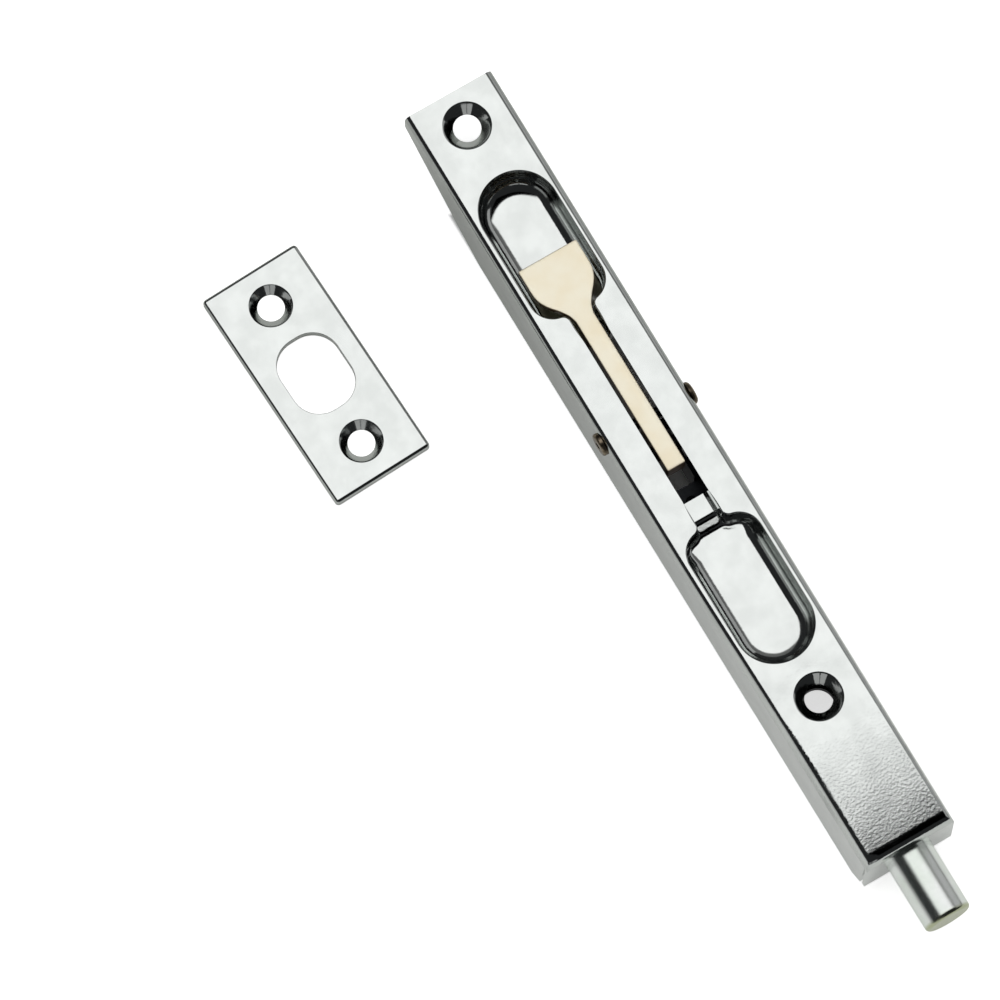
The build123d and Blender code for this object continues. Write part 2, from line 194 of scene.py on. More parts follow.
def inward_distance(x, y):
    """Distance inwards from the rim: the least distance to the side, far arc, shoulder, throat
    or neck wall, whichever of them stands beside this point."""
    y = np.abs(y)
    side = cup_half - y
    far = cup_half - np.hypot(np.maximum(x - (cup_far - cup_half), 0), y)
    near = shoulder - np.hypot(np.maximum(shoulder_x - x, 0), np.maximum(y - shoulder_y, 0))
    mouth = np.hypot(np.maximum(x - throat_x, 0), throat_y - y) - throat
    in_cup = np.minimum(side, far)
    throat_side = np.where(y > shoulder_y, np.minimum(near, mouth), mouth)
    opened = np.where(x < shoulder_x, throat_side, in_cup)
    return np.minimum(in_cup, np.where(x < throat_x, slot_half - y, opened))


def floor_depth(x):
    """Depth of the floor: the neck's shelf, then two small folds down to the cup's floor."""
    first, slope, second = smooth(x, 20.3, 21.1), np.clip((x - 21.1) / 1.3, 0, 1), smooth(x, 22.4, 23.3)
    return neck_depth + (cup_depth - neck_depth) * (0.42 * first + 0.16 * slope + 0.42 * second)


def wall_round(x):
    """Radius of the floor's round: whatever is left between the rim and the floor's own edge, a
    line that widens from the neck's width to the cup's."""
    edge = 1.9 + (cup_half - floor_radius - 1.9) * smooth(x, 21.5, 25.2)
    left_over = np.clip(inward_distance(x, edge), 0.7, floor_radius)
    return np.where(x < shoulder_x, left_over, floor_radius)


def pressed_depth(x, inward):
    """Depth below the face at a distance inwards: a quarter round rim, a wall, then the floor's
    quarter round, whose height falls as the square root of radius^2 - (radius - inward)^2."""
    deep = floor_depth(x)
    radius = wall_round(x)
    rest = np.clip(radius - inward, 0, None)
    return deep - radius + np.sqrt(np.clip(radius ** 2 - rest ** 2, 0, None))


def cup_skin():
    """Vertices (mm, from the pivot) and quads of one cup with its neck, half strips and floor."""
    turns = np.linspace(0, math.pi / 2, 8)
    rows = []
    for t in turns:
        in_x, in_y = half_rim(0.0)
        out_x, out_y = half_rim(-rim_radius)
        share = rim_share(in_x)
        back = (1 - math.sin(t)) * share
        px = in_x + (out_x - in_x) * back
        py = in_y + (out_y - in_y) * back
        rows.append(np.stack([px, py, -rim_radius * share * (1 - math.cos(t))], axis=1))
    for inward in (0.0, 0.06, 0.2, 0.45, 0.8, 1.2, 1.6, 2.0, 2.3):
        x, y = half_rim(inward)
        rows.append(np.stack([x, y, -pressed_depth(x, inward)], axis=1))
    strip = np.stack(rows)
    edge = strip[-1]
    across = np.linspace(1, -1, 25)
    floor_x = np.repeat(edge[:, 0:1], across.size, axis=1)
    floor_y = edge[:, 1:2] * across[None, :]
    inward = np.maximum(inward_distance(floor_x, floor_y), 2.3)
    floor_z = -pressed_depth(floor_x, inward)
    floor = np.stack([floor_x, floor_y, floor_z], axis=2)
    mirror = strip * np.array([1, -1, 1])
    count, along = strip.shape[:2]
    points = np.concatenate([strip.reshape(-1, 3), mirror.reshape(-1, 3), floor.reshape(-1, 3)])
    faces = np.concatenate([grid_faces(count, along, 0, True),
                            grid_faces(count, along, count * along, False),
                            grid_faces(along, across.size, 2 * count * along, False)])
    return points, faces, strip[0]


cup_points, cup_faces, cup_loop = cup_skin()
print("one cup:", len(cup_points), "points,", len(cup_faces), "quads")

# %% Sheets, plates and their welding
def make_piece(name, points, faces, thickness=0.0, sharp=38.0, bevel=0.0):
    """A mesh piece from points in mm: welded, given a sheet thickness inwards, sharp past an angle."""
    mesh = bpy.data.meshes.new(name)
    mesh.from_pydata((np.asarray(points) * MM).tolist(), [], [tuple(face) for face in faces])
    shape = bmesh.new()
    shape.from_mesh(mesh)
    bmesh.ops.remove_doubles(shape, verts=shape.verts, dist=2e-6)
    bmesh.ops.dissolve_degenerate(shape, edges=shape.edges, dist=1e-7)
    shape.to_mesh(mesh)
    shape.free()
    thing = bpy.data.objects.new(name, mesh)
    bpy.context.collection.objects.link(thing)
    if thickness:
        solid = thing.modifiers.new("sheet", "SOLIDIFY")
        solid.thickness, solid.offset, solid.use_even_offset = thickness * MM, -1.0, True
        graph = bpy.context.evaluated_depsgraph_get()
        thick = bpy.data.meshes.new_from_object(thing.evaluated_get(graph))
        thing.modifiers.clear()
        thing.data = thick
    thing.data.polygons.foreach_set("use_smooth", np.ones(len(thing.data.polygons), dtype=bool))
    thing.data.set_sharp_from_angle(angle=math.radians(sharp))
    if bevel:
        edge = thing.modifiers.new("soft_edges", "BEVEL")
        edge.width, edge.segments, edge.limit_method = bevel * MM, 2, "ANGLE"
        edge.angle_limit = math.radians(45)
    normals = thing.modifiers.new("flat_faces_stay_flat", "WEIGHTED_NORMAL")
    normals.keep_sharp = True
    return thing


def keep_flat(thing, regions):
    """Shading normals for flat sheet next to tight bends. Each region is an axis, the side it
    faces and its place in mm: corners lying there take the region's own straight normal."""
    mesh = thing.data
    corner_count = len(mesh.loops)
    corner = np.empty(corner_count, dtype=np.int32)
    mesh.loops.foreach_get("vertex_index", corner)
    place = np.empty(len(mesh.vertices) * 3)
    mesh.vertices.foreach_get("co", place)
    place = place.reshape(-1, 3)[corner] / MM
    soft = np.empty(corner_count * 3)
    mesh.corner_normals.foreach_get("vector", soft)
    soft = soft.reshape(-1, 3)
    facing = np.array([tuple(face.normal) for face in mesh.polygons])
    facing = np.repeat(facing, [face.loop_total for face in mesh.polygons], axis=0)
    for axis, side, level in regions:
        lies = (np.abs(place[:, axis] - level) < 0.002) & (side * facing[:, axis] > 0.5)
        straight = np.zeros(3)
        straight[axis] = side
        soft[lies] = straight
    thing.modifiers.clear()
    mesh.normals_split_custom_set(soft.tolist())


def flat_fill(outer, holes):
    """Triangles that fill an outline and leave its holes open: a constrained Delaunay triangulation.
    Loops are lists of plan points; returns points and triangles, wound anticlockwise."""
    loops = [np.asarray(outer)] + [np.asarray(hole) for hole in holes]
    points = np.concatenate(loops)
    starts = np.cumsum([0] + [len(loop) for loop in loops])
    edges = [(int(a + i), int(a + (i + 1) % (b - a))) for a, b in zip(starts[:-1], starts[1:])
             for i in range(b - a)]
    found = delaunay_2d_cdt([Vector(p) for p in points], edges, [], 0, 1e-6)
    plan = np.array([tuple(p) for p in found[0]])
    triangles = np.array([face for face in found[2]])
    middle = plan[triangles].mean(axis=1)
    keep = inside(loops[0], middle)
    for hole in loops[1:]:
        keep &= ~inside(hole, middle)
    triangles = triangles[keep]
    a, b, c = (plan[triangles[:, i]] for i in range(3))
    turn = (b[:, 0] - a[:, 0]) * (c[:, 1] - a[:, 1]) - (b[:, 1] - a[:, 1]) * (c[:, 0] - a[:, 0])
    triangles[turn < 0] = triangles[turn < 0][:, ::-1]
    return plan, triangles


def inside(loop, points):
    """Even-odd rule: a point is inside when a ray along +X crosses the loop an odd number of times."""
    x, y = points[:, 0:1], points[:, 1:2]
    x0, y0 = loop[:, 0], loop[:, 1]
    x1, y1 = np.roll(x0, -1), np.roll(y0, -1)
    level = (y0 > y) != (y1 > y)
    rise = np.where(y1 == y0, 1.0, y1 - y0)
    crossing = level & (x < (x1 - x0) * (y - y0) / rise + x0)
    return crossing.sum(axis=1) % 2 == 1


def join(parts):
    """Points and faces of several patches as one list of each."""
    points, faces, count = [], [], 0
    for patch_points, patch_faces in parts:
        points.append(np.asarray(patch_points))
        faces += [tuple(int(i) + count for i in face) for face in patch_faces]
        count += len(patch_points)
    return np.concatenate(points), faces


def ring_strip(radii, depths, centre, count, flip=False):
    """A turned surface: circles of these radii at these heights round a vertical axis."""
    turn = np.linspace(0, 2 * math.pi, count + 1)
    x = centre[0] + np.outer(radii, np.cos(turn))
    y = centre[1] + np.outer(radii, np.sin(turn))
    z = np.repeat(np.asarray(depths)[:, None], count + 1, axis=1)
    return np.stack([x, y, z], axis=2).reshape(-1, 3), grid_faces(len(radii), count + 1, 0, flip)


print("sheet helpers ready")

# %% The face plate with its cups, slot and screw dishes
def whole_cup_loop():
    """The outline round both cups and the slot between them, in row millimetres."""
    x, y = cup_loop[:, 0], cup_loop[:, 1]
    one = np.stack([np.concatenate([x, x[::-1][1:]]), np.concatenate([y, -y[::-1][1:]])], axis=1)
    other = one * np.array([-1, -1])
    return np.concatenate([one, other]) + np.array([pivot_x, 0])


def dish(x):
    """A pressed screw dish: rolled rim, cone and the punched hole's edge."""
    rim, root, depth, roll = 4.4, 2.55, 1.85, 0.45
    slope = math.atan2(depth, rim - root)
    turns = np.linspace(0, slope, 6)
    radii = rim + roll * math.tan(slope / 2) - roll * np.sin(turns)
    heights = -roll * (1 - np.cos(turns))
    steps = np.linspace(0, 1, 6)[1:]
    radii = np.concatenate([radii, radii[-1] + (root - radii[-1]) * steps])
    heights = np.concatenate([heights, heights[-1] + (-depth - heights[-1]) * steps])
    points, faces = ring_strip(radii, heights, (x, 0), 72, False)
    return points, faces, radii[0]


def long_stations():
    """Places along the case where the bends and walls have a row of points."""
    return np.unique(np.concatenate([np.linspace(x_upper, x_upper + slant, 14),
                                     np.linspace(x_upper + slant, flat_end - corner_cut, 50),
                                     [flat_end]]))


stations = long_stations()
crossings = np.linspace(-flat_half, flat_half, 20)
dish_low, dish_low_faces, dish_radius = dish(-screw_at)
dish_high, dish_high_faces, _ = dish(screw_at)
circle = np.linspace(0, 2 * math.pi, 73)[:-1]
dish_loops = [np.stack([x + dish_radius * np.cos(circle), dish_radius * np.sin(circle)], axis=1)
              for x in (-screw_at, screw_at)]
outer = np.concatenate([
    np.stack([stations, np.full(stations.size, -flat_half)], axis=1),
    np.stack([np.full(18, flat_end), crossings[1:-1]], axis=1),
    np.stack([stations[::-1], np.full(stations.size, flat_half)], axis=1),
    np.stack([np.full(18, x_upper), crossings[::-1][1:-1]], axis=1)])
plan, triangles = flat_fill(outer, [whole_cup_loop()] + dish_loops)
face_patch = (np.column_stack([plan, np.zeros(len(plan))]), triangles)
lower_cup = (cup_points + np.array([pivot_x, 0, 0]), cup_faces)
upper_cup = (cup_points * np.array([-1, 1, 1]) + np.array([pivot_x, 0, 0]), cup_faces[:, ::-1])
print("face:", len(triangles), "triangles")


# %% Bends, walls and the end flap
def bend_and_wall(side):
    """One long bend, a quarter round, with the wall below it; the bend runs on to the mitre."""
    turns = np.linspace(0, math.pi / 2, 9)
    x = np.concatenate([np.repeat(stations[None, :], 9, axis=0),
                        (flat_end + bend * np.sin(turns))[:, None]], axis=1)
    y = np.repeat((flat_half + bend * np.sin(turns))[:, None], x.shape[1], axis=1)
    z = np.repeat((-bend * (1 - np.cos(turns)))[:, None], x.shape[1], axis=1)
    strip = np.stack([x, side * y, z], axis=2)
    taper = slant_low + (case_depth - slant_low) * np.clip((stations - x_upper) / slant, 0, 1)
    low = np.minimum(taper, case_depth - np.clip(stations - (flat_end - corner_cut), 0, None))
    down = np.linspace(0, 1, 6)[:, None]
    wall_z = -(bend + (low - bend)[None, :] * down)
    wall = np.stack([np.repeat(stations[None, :], 6, axis=0),
                     np.full(wall_z.shape, side * half_width), wall_z], axis=2)
    flip = side > 0
    return [(strip.reshape(-1, 3), grid_faces(9, x.shape[1], 0, not flip)),
            (wall.reshape(-1, 3), grid_faces(6, stations.size, 0, not flip))]


def end_flap():
    """The flap's bend with its mitred ends, and the flap with the bolt's hole."""
    turns = np.linspace(0, math.pi / 2, 9)
    reach = (flat_half + bend * np.sin(turns))[:, None]
    y = np.concatenate([-reach, np.repeat(crossings[None, :], 9, axis=0), reach], axis=1)
    x = np.repeat((flat_end + bend * np.sin(turns))[:, None], y.shape[1], axis=1)
    z = np.repeat((-bend * (1 - np.cos(turns)))[:, None], y.shape[1], axis=1)
    strip = np.stack([x, y, z], axis=2).reshape(-1, 3)
    edge = np.concatenate([
        np.stack([y[-1], np.full(y.shape[1], -bend)], axis=1),
        [[half_width, -flap_low], [-half_width, -flap_low]]])
    hole = np.stack([bolt_hole * np.cos(circle), bolt_hole * np.sin(circle) - bolt_axis], axis=1)
    flat, faces = flat_fill(edge, [hole])
    plate = np.column_stack([np.full(len(flat), x_lower), flat])
    return [(strip, grid_faces(9, y.shape[1], 0, True)), (plate, faces)]


patches = [face_patch, lower_cup, upper_cup, (dish_low, dish_low_faces), (dish_high, dish_high_faces)]
patches += bend_and_wall(1) + bend_and_wall(-1) + end_flap()
case_skin = join(patches)
case_piece = make_piece("pressed_case", *case_skin, thickness=sheet, sharp=35.0)
keep_flat(case_piece, [(2, 1, 0.0), (1, 1, half_width), (1, -1, -half_width), (0, 1, x_lower)])
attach(case_piece, "case_body")
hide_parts("case")
print("case:", len(case_piece.data.polygons), "faces")

# %% [markdown]
# ## The lever
# The lever is a small zinc casting: a flat tulip-shaped paddle that a fingertip lifts, and a
# deeper shank that carries the pivot and the crank pin. Casting leaves every edge slightly
# round. It can be drawn as rounded rectangles that change size along its length.

# %% Lever
def rounded_section(half_wide, low, high, radius, steps=5):
    """Points round a rectangle with round corners, seen along the lever: y and z."""
    turns = np.linspace(0, math.pi / 2, steps)
    y, z = [], []
    for quarter, (cy, cz) in enumerate([(1, 1), (-1, 1), (-1, -1), (1, -1)]):
        angle = turns + quarter * math.pi / 2
        y.append(cy * (half_wide - radius) + radius * np.cos(angle))
        middle = high - radius if cz > 0 else low + radius
        z.append(middle + radius * np.sin(angle))
    return np.concatenate(y), np.concatenate(z)


def lever_half_width(x):
    """Half width at a distance from the pivot: parallel paddle, one smooth curve, then the shank."""
    along = np.array([21.0, 22.7, 24.4, 25.5, 26.8, 28.2, 29.6])
    wide = np.array([1.80, 2.28, 3.45, 4.45, 5.35, 5.90, 6.05])
    fine = np.linspace(along[0], along[-1], 61)
    rough = np.interp(fine, along, wide)
    kernel = np.ones(9) / 9
    soft = np.convolve(np.pad(rough, 4, mode="edge"), kernel, mode="valid")
    return np.interp(-x, fine, soft)


def lever_mesh():
    """The lever as a loft: one rounded section at each place along it, with closed ends."""
    paddle, tail, top = -34.4, 10.8, -0.3
    soft = 0.28
    inset = np.array([0.0, 0.02, 0.08, 0.17, 0.28])
    start = paddle + inset
    end = tail - inset[::-1]
    x = np.concatenate([start, np.linspace(paddle + 0.6, -29.4, 8), np.linspace(-29.2, -20.6, 44),
                        np.linspace(-20.2, -16.4, 10), np.linspace(-15.5, tail - 0.6, 30), end])
    half = lever_half_width(x)
    drop = np.interp(x, [-21.0, -16.8], [1.8, 4.2])
    shrink = np.zeros(x.size)
    curve = soft - np.sqrt(soft ** 2 - (soft - inset) ** 2)
    shrink[:5], shrink[-5:] = curve, curve[::-1]
    rings = []
    for place, wide, deep, less in zip(x, half, drop, shrink):
        radius = max(soft - less, 0.02)
        y, z = rounded_section(wide - less, top - deep + less, top - less, radius)
        rings.append(np.stack([np.full(y.size, place), y, z], axis=1))
    rings = np.stack(rings)
    count, around = rings.shape[:2]
    points = rings.reshape(-1, 3)
    i, j = np.meshgrid(np.arange(count - 1), np.arange(around), indexing="ij")
    a, b = (i * around + j).ravel(), (i * around + (j + 1) % around).ravel()
    quads = [tuple(q) for q in np.stack([a, b, b + around, a + around], axis=1)]
    quads.append(tuple(range(around))[::-1])
    quads.append(tuple(range((count - 1) * around, count * around)))
    return points + np.array([pivot_x, 0, 0]), quads


lever_piece = make_piece("cast_lever", *lever_mesh(), sharp=50.0)
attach(lever_piece, "lever_body")
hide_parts("lever")
print("lever:", len(lever_piece.data.polygons), "faces")

# %% [markdown]
# ## The strike plate
# A flat plate is blanked, its upper edges are rolled over in the die, and it is pierced for the
# bolt and for two countersunk screws. A face filled between its outlines stays truly flat, so
# the chrome mirrors the studio without a ripple. It is drawn level and turned as it lies.

# %% Strike plate
def rounded_outline(length, width, radius, steps=9):
    """Plan points round a rectangle with round corners, anticlockwise."""
    turns = np.linspace(0, math.pi / 2, steps)
    parts = []
    for quarter, (cx, cy) in enumerate([(1, 1), (-1, 1), (-1, -1), (1, -1)]):
        angle = turns + quarter * math.pi / 2
        parts.append(np.stack([cx * (length / 2 - radius) + radius * np.cos(angle),
                               cy * (width / 2 - radius) + radius * np.sin(angle)], axis=1))
    return np.concatenate(parts)


def loop_strip(loops, heights, flip=False):
    """A band through closed plan loops of equal length, each at its own height."""
    rows = [np.column_stack([np.vstack([loop, loop[:1]]), np.full(len(loop) + 1, z)])
            for loop, z in zip(loops, heights)]
    return np.concatenate(rows), grid_faces(len(rows), len(rows[0]), 0, flip)


def strike_mesh():
    """Plate 45 x 20 x 1.8: rolled upper edge, oblong hole with broken edge, two countersinks."""
    long, wide, thick, roll = 45.0, 20.0, 1.8, 0.7
    turns = np.linspace(0, math.pi / 2, 8)
    corner = 0.75
    outlines = [rounded_outline(long - 2 * roll * (1 - math.sin(t)), wide - 2 * roll * (1 - math.sin(t)),
                                corner - roll * (1 - math.sin(t))) for t in turns]
    heights = list(-roll * (1 - np.cos(turns))) + [-thick]
    sides = loop_strip(outlines + [outlines[-1]], heights, True)
    sharp = 0.12
    lip = np.linspace(0, math.pi / 2, 5)
    oblongs = [rounded_outline(15 + 2 * sharp * (1 - math.sin(t)), 12 + 2 * sharp * (1 - math.sin(t)),
                               5.3 + sharp * (1 - math.sin(t)), 16) for t in lip]
    hole = loop_strip(oblongs + [oblongs[-1]], list(-sharp * (1 - np.cos(lip))) + [-thick], False)
    patches = [sides, hole]
    rim, root, sink = 4.0, 2.5, 1.5
    round_rim = 0.15
    t = np.linspace(0, math.pi / 4, 5)
    radii = rim + round_rim * math.tan(math.pi / 8) - round_rim * np.sin(t)
    levels = -round_rim * (1 - np.cos(t))
    steps = np.linspace(0, 1, 6)[1:]
    radii = np.concatenate([radii, radii[-1] + (root - radii[-1]) * steps, [root]])
    levels = np.concatenate([levels, levels[-1] + (-sink - levels[-1]) * steps, [-thick]])
    for x in (-15, 15):
        patches.append(ring_strip(radii, levels, (x, 0), 72, False))
    top_holes = [np.stack([x + radii[0] * np.cos(circle), radii[0] * np.sin(circle)], axis=1)
                 for x in (-15, 15)]
    low_holes = [np.stack([x + root * np.cos(circle), root * np.sin(circle)], axis=1)
                 for x in (-15, 15)]
    flat, faces = flat_fill(outlines[0], [oblongs[0]] + top_holes)
    patches.append((np.column_stack([flat, np.zeros(len(flat))]), faces))
    flat, faces = flat_fill(outlines[-1], [oblongs[-1]] + low_holes)
    patches.append((np.column_stack([flat, np.full(len(flat), -thick)]), faces[:, ::-1]))
    points, all_faces = join(patches)
    turn = math.radians(2.5)
    spin = np.array([[math.cos(turn), math.sin(turn), 0], [-math.sin(turn), math.cos(turn), 0], [0, 0, 1]])
    middle = (plate_low + plate_high) / 2 / MM
    return points @ spin + np.array([middle[0], middle[1], plate_high[2] / MM]), all_faces


strike_piece = make_piece("strike_plate_chromed", *strike_mesh(), sharp=35.0)
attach(strike_piece, "case_body")
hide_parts("strike_plate")
print("strike plate:", len(strike_piece.data.polygons), "faces")

# %% [markdown]
# ## Finishes
# Bright chrome is a mirror with a grey tint; what makes it look like pressed sheet is the
# faint orange peel under the plating and the places where the press pulled the face down:
# round the dishes and beside the last bend. All of that is a change of slope, so it is made as
# height for a bump node, in millimetres, from the object's own coordinates. The mesh itself
# stays flat: the long roll towards the end flap is a guess at why the face greys there, and it
# would be 0.9 mm deep if it were cut.

# %% Bright chrome on pressed sheet
def separate_place(tree):
    """Object coordinates in mm, as one vector and as X, Y and Z."""
    place = add(tree, "ShaderNodeTexCoord").outputs["Object"]
    scaled = add(tree, "ShaderNodeVectorMath", {1: (1000, 1000, 1000)}, {0: place}, operation="MULTIPLY")
    split = add(tree, "ShaderNodeSeparateXYZ", links={0: scaled.outputs[0]})
    return place, scaled.outputs[0], split.outputs


def math_node(tree, operation, a, b=0.0):
    """A maths node whose inputs may be numbers or sockets."""
    node = add(tree, "ShaderNodeMath", operation=operation)
    for index, value in enumerate((a, b)):
        if isinstance(value, (int, float)):
            node.inputs[index].default_value = value
        else:
            tree.links.new(value, node.inputs[index])
    return node.outputs[0]


def ease(tree, value, low, high, low_to=0.0, high_to=1.0):
    """Smooth step of a socket between two limits, onto a new range."""
    node = add(tree, "ShaderNodeMapRange", {"From Min": low, "From Max": high, "To Min": low_to,
                                            "To Max": high_to}, {"Value": value},
               interpolation_type="SMOOTHSTEP")
    return node.outputs["Result"]


def noise(tree, place, feature_mm, detail=2.0, stretch=(1, 1, 1)):
    """Noise of a real feature size in mm, stretched along the object's axes; returns its factor."""
    spread = add(tree, "ShaderNodeVectorMath", {1: stretch}, {0: place}, operation="MULTIPLY")
    node = add(tree, "ShaderNodeTexNoise", {"Scale": per_mm(feature_mm), "Detail": detail},
               {"Vector": spread.outputs[0]})
    return node.outputs[0]


def roll_off(tree, away, reach, slope):
    """How far the face has dropped beside a bend: slope / (2 reach) x (reach - away) squared."""
    inside_reach = math_node(tree, "MAXIMUM", math_node(tree, "SUBTRACT", reach, away), 0.0)
    squared = math_node(tree, "POWER", inside_reach, 2.0)
    return math_node(tree, "MULTIPLY", squared, slope / (2 * reach))


def chrome_material(name, with_press_marks):
    """Bright chrome: a grey mirror over orange peel, long waves and the press's own marks."""
    material, tree, shader = new_material(name, {"Metallic": 1.0})
    place, scaled, (x, y, z) = separate_place(tree)
    cloud = ease(tree, noise(tree, place, 5.0, 4.0), 0.30, 0.72)
    tint = add(tree, "ShaderNodeMix", {6: linear("#C7CAC8"), 7: linear("#D1D4D2")}, {0: cloud},
               data_type="RGBA")
    tree.links.new(tint.outputs[2], shader.inputs["Base Color"])
    coarse = ease(tree, x, 42.0, 80.0, 0.3, 1.0) if with_press_marks else 0.25
    peel = math_node(tree, "MULTIPLY", noise(tree, place, 0.52, 3.0), coarse)
    height = math_node(tree, "MULTIPLY", peel, 0.021)
    waves = math_node(tree, "MULTIPLY", noise(tree, place, 16.0, 1.0), 0.05)
    height = math_node(tree, "ADD", height, waves)
    if with_press_marks:
        to_end = math_node(tree, "SUBTRACT", flat_end, x)
        bend_roll, long_roll, side_roll = (1.3, 0.20), (30.0, 0.06), (2.2, 0.45)   # reach, slope
        tight, long = roll_off(tree, to_end, *bend_roll), roll_off(tree, to_end, *long_roll)
        fall = math_node(tree, "ADD", tight, long)
        side = roll_off(tree, math_node(tree, "ADD", y, flat_half), *side_roll)
        side = math_node(tree, "MULTIPLY", side, ease(tree, x, 25.0, 75.0, 0.0, 1.0))
        height = math_node(tree, "SUBTRACT", height, math_node(tree, "ADD", fall, side))
        for centre, pull in ((screw_at, 0.10), (-screw_at, 0.03)):
            away = add(tree, "ShaderNodeVectorMath", {1: (centre, 0, 0)}, {0: scaled},
                       operation="DISTANCE").outputs["Value"]
            height = math_node(tree, "ADD", height, ease(tree, away, 4.2, 8.0, 0.0, pull))
    bump = add(tree, "ShaderNodeBump", {"Strength": 1.0, "Distance": MM}, {"Height": height})
    tree.links.new(bump.outputs[0], shader.inputs["Normal"])
    smear = noise(tree, place, 9.0, 4.0)
    tree.links.new(ease(tree, smear, 0.35, 0.75, 0.06, 0.16), shader.inputs["Roughness"])
    return material


case_chrome = chrome_material("bright_chrome_on_pressed_sheet", True)
plate_chrome = chrome_material("bright_chrome_on_flat_plate", False)
case_piece.data.materials.append(case_chrome)
strike_piece.data.materials.append(plate_chrome)
print("chrome ready")

# %% Satin gold on the lever with painted shade on its sides, zinc on the bolt, steels inside, some painted near black as shade
def lever_material():
    """Pale gold passivated casting: even satin on its two broad faces. Its sides and edges are
    painted dark brown as painted shade, told apart by how far the casting's own normal leans
    from its thickness."""
    material, tree, shader = new_material("pale_gold_passivated_zinc", {
        "Metallic": 0.25, "Roughness": 0.38})
    place, scaled, (x, y, z) = separate_place(tree)
    own_normal = add(tree, "ShaderNodeTexCoord").outputs["Normal"]
    facing = add(tree, "ShaderNodeSeparateXYZ", links={0: own_normal}).outputs["Z"]
    up = ease(tree, math_node(tree, "ABSOLUTE", facing), 0.35, 0.97)
    cloud = ease(tree, noise(tree, place, 7.0, 3.0), 0.35, 0.7)
    tops = add(tree, "ShaderNodeMix", {6: linear("#FFF8E2"), 7: linear("#FBF0D4")}, {0: cloud},
               data_type="RGBA")
    # Sides and edges take #5E4A38: painted shade, chosen by the lean of the casting's own normal.
    with_painted_side_shade = add(tree, "ShaderNodeMix", {6: linear("#5E4A38")}, {0: up, 7: tops.outputs[2]},
                data_type="RGBA")
    tree.links.new(with_painted_side_shade.outputs[2], shader.inputs["Base Color"])
    grain = math_node(tree, "MULTIPLY", noise(tree, place, 0.5, 3.0), 0.006)
    bump = add(tree, "ShaderNodeBump", {"Strength": 1.0, "Distance": MM}, {"Height": grain})
    tree.links.new(bump.outputs[0], shader.inputs["Normal"])
    return material


def zinc_material():
    """Bright zinc on drawn bar: fine lengthwise lines and a blue-green passivation tint."""
    material, tree, shader = new_material("clear_passivated_zinc_on_bar", {
        "Metallic": 1.0, "Roughness": 0.24})
    place, scaled, (x, y, z) = separate_place(tree)
    tint = ease(tree, noise(tree, place, 3.5, 3.0, (0.5, 1, 1)), 0.35, 0.7)
    colour = add(tree, "ShaderNodeMix", {6: linear("#E2E9E2"), 7: linear("#EFF2F0")}, {0: tint},
                 data_type="RGBA")
    nose = ease(tree, x, bolt_tip - 1.2, bolt_tip - 0.3)
    tipped = add(tree, "ShaderNodeMix", {7: linear("#B9BEA0")}, {0: nose, 6: colour.outputs[2]},
                 data_type="RGBA")
    tree.links.new(tipped.outputs[2], shader.inputs["Base Color"])
    lines = math_node(tree, "MULTIPLY", noise(tree, place, 0.35, 3.0, (0.06, 1, 1)), 0.004)
    pits = math_node(tree, "MULTIPLY", noise(tree, place, 0.6, 3.0), 0.004)
    bump = add(tree, "ShaderNodeBump", {"Strength": 1.0, "Distance": MM},
               {"Height": math_node(tree, "ADD", lines, pits)})
    tree.links.new(bump.outputs[0], shader.inputs["Normal"])
    return material


def steel_material(name, dark, light, roughness, feature_mm, painted_shade_half=0.0):
    """Plain or dull plated steel: two shades of one tint in soft patches, over fine grain. A
    rivet's shank, within the given half width either side of the middle, is painted black:
    painted shade where it lies inside the case."""
    material, tree, shader = new_material(name, {"Metallic": 1.0, "Roughness": roughness})
    place, scaled, (x, y, z) = separate_place(tree)
    patch = ease(tree, noise(tree, place, feature_mm, 4.0), 0.35, 0.7)
    colour = add(tree, "ShaderNodeMix", {6: linear(dark), 7: linear(light)}, {0: patch},
                 data_type="RGBA")
    if painted_shade_half:
        # Painted shade: the shank between the case's walls is painted black #17181A.
        beyond_painted_shade = ease(tree, math_node(tree, "ABSOLUTE", y), painted_shade_half - 0.3, painted_shade_half)
        colour = add(tree, "ShaderNodeMix", {6: linear("#17181A")},
                     {0: beyond_painted_shade, 7: colour.outputs[2]}, data_type="RGBA")
    tree.links.new(colour.outputs[2], shader.inputs["Base Color"])
    grain = math_node(tree, "MULTIPLY", noise(tree, place, 0.3, 2.0), 0.004)
    bump = add(tree, "ShaderNodeBump", {"Strength": 1.0, "Distance": MM}, {"Height": grain})
    tree.links.new(bump.outputs[0], shader.inputs["Normal"])
    return material


finishes = {
    "bolt": zinc_material(),
    "inner": steel_material("zinc_plated_inner_steel", "#7C7E80", "#9DA0A1", 0.36, 4.0),
    "strap": steel_material("oiled_dark_strap_steel", "#1B1C1E", "#2B2D2F", 0.45, 4.0),
    # The yoke, its rivets and the crank pin take a near-black steel: painted shade inside the case.
    "black": steel_material("yoke_steel_in_painted_shade", "#0B0C0D", "#151617", 0.50, 3.0),
    "rivet": steel_material("tan_rivet_steel_painted_shade_shank", "#5A5044", "#A3947F", 0.33, 1.2, half_width - 1.0),
    "pin": steel_material("ground_pin_steel", "#8B8D90", "#A6A8AA", 0.25, 2.0),
    "spring": steel_material("dark_spring_steel", "#46494C", "#5F6366", 0.30, 3.0),
}
finish_of = {"bolt": "bolt", "yoke": "black", "drive_strap": "strap", "bolt_guide": "inner",
             "strap_keeper": "inner", "pivot_rivet": "rivet", "yoke_rivets": "black",
             "spring_rivet": "rivet", "crank_pin": "black", "bolt_cross_pin": "pin",
             "detent_spring": "spring"}
for name, finish in finish_of.items():
    nodes[name].data.materials.clear()
    nodes[name].data.materials.append(finishes[finish])
lever_piece.data.materials.append(lever_material())
print("finishes on", len(finish_of), "frame parts and three pieces")
